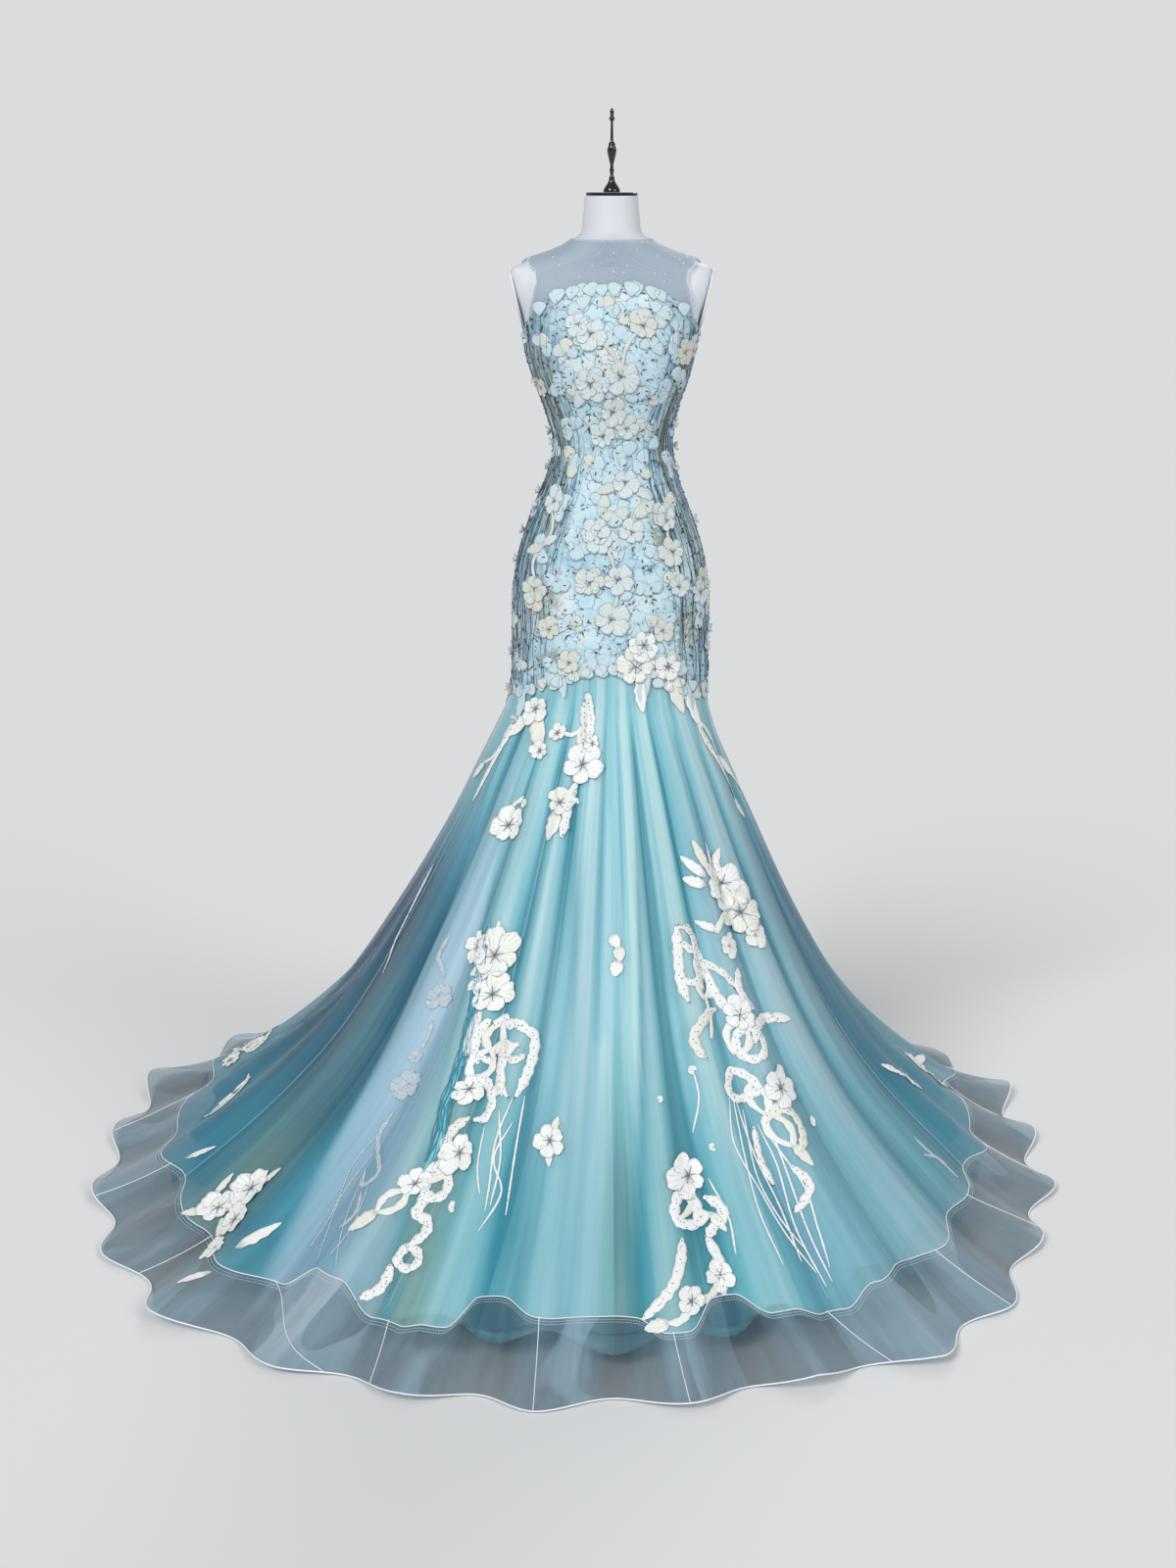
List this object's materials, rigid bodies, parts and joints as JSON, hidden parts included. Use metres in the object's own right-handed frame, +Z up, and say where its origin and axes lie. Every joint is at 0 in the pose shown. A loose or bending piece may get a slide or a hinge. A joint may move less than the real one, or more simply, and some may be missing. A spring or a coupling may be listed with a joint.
{
  "type": "mermaid evening dress on a dress form",
  "caption": "Mermaid evening dress with sheer yoke, fitted lace bodice, flared skirt over an underskirt and a sheer hem band, on a limbless dress form.",
  "frame": {"origin": "on the floor, at the middle of the stand's base underside, on the pole's axis", "axes": "+Z up, the dress faces -Y, +X is the right-hand side of someone who looks at its front"},
  "size_m": [1.6389, 1.6806, 1.747],
  "materials": {
    "illusion_net": "sheer grey-blue net with scattered clear beads",
    "beaded_lace": "ice-blue embroidered lace with bugle beads",
    "covered_buttons": "satin-covered buttons on a lace strip",
    "lace_applique": "ivory and white embroidered appliques with grey veins",
    "skirt_organza": "sheer pale blue organza, soft sheen",
    "hem_organza": "doubled sheer organza with a white rolled edge",
    "underskirt_satin": "aqua satin",
    "form_cover": "smooth off-white cover",
    "gloss_black": "gloss black lacquer",
    "base_black": "satin black powder coat",
    "pole_steel": "polished tube"
  },
  "bodies": {
    "root": {"back_placket": "covered_buttons", "bodice_back_left": "beaded_lace", "bodice_back_right": "beaded_lace", "bodice_front": "beaded_lace", "bodice_spray_back_hip": "lace_applique", "bodice_spray_back_top": "lace_applique", "bodice_spray_bust": "lace_applique", "bodice_spray_hip": "lace_applique", "bodice_spray_side_left": "lace_applique", "bodice_spray_side_right": "lace_applique", "bodice_spray_waist": "lace_applique", "form_arm_plate_left": "form_cover", "form_arm_plate_right": "form_cover", "form_base": "base_black", "form_finial": "gloss_black", "form_neck_cap": "gloss_black", "form_pole": "pole_steel", "form_torso": "form_cover", "hem_band_back_left": "hem_organza", "hem_band_back_right": "hem_organza", "hem_band_front": "hem_organza", "hem_band_side_front_left": "hem_organza", "hem_band_side_front_right": "hem_organza", "hem_band_side_left": "hem_organza", "hem_band_side_right": "hem_organza", "lace_back_centre": "lace_applique", "lace_back_left": "lace_applique", "lace_back_right": "lace_applique", "lace_centre_left": "lace_applique", "lace_edge_left": "lace_applique", "lace_edge_right": "lace_applique", "lace_edge_side_right": "lace_applique", "lace_front_flower": "lace_applique", "lace_front_petals": "lace_applique", "lace_hem_back_left": "lace_applique", "lace_hem_left": "lace_applique", "lace_hem_right_flower": "lace_applique", "lace_hem_right_trail": "lace_applique", "lace_hem_side_right": "lace_applique", "lace_left_bud": "lace_applique", "lace_left_flowers": "lace_applique", "lace_left_loops": "lace_applique", "lace_left_trail": "lace_applique", "lace_right_flowers": "lace_applique", "lace_right_loops": "lace_applique", "lace_right_trail": "lace_applique", "skirt_back_left": "skirt_organza", "skirt_back_right": "skirt_organza", "skirt_front": "skirt_organza", "skirt_side_front_left": "skirt_organza", "skirt_side_front_right": "skirt_organza", "skirt_side_left": "skirt_organza", "skirt_side_right": "skirt_organza", "underskirt_back": "underskirt_satin", "underskirt_front": "underskirt_satin", "underskirt_left": "underskirt_satin", "underskirt_right": "underskirt_satin", "yoke_back_left": "illusion_net", "yoke_back_right": "illusion_net", "yoke_front": "illusion_net"}
  },
  "joints": []
}
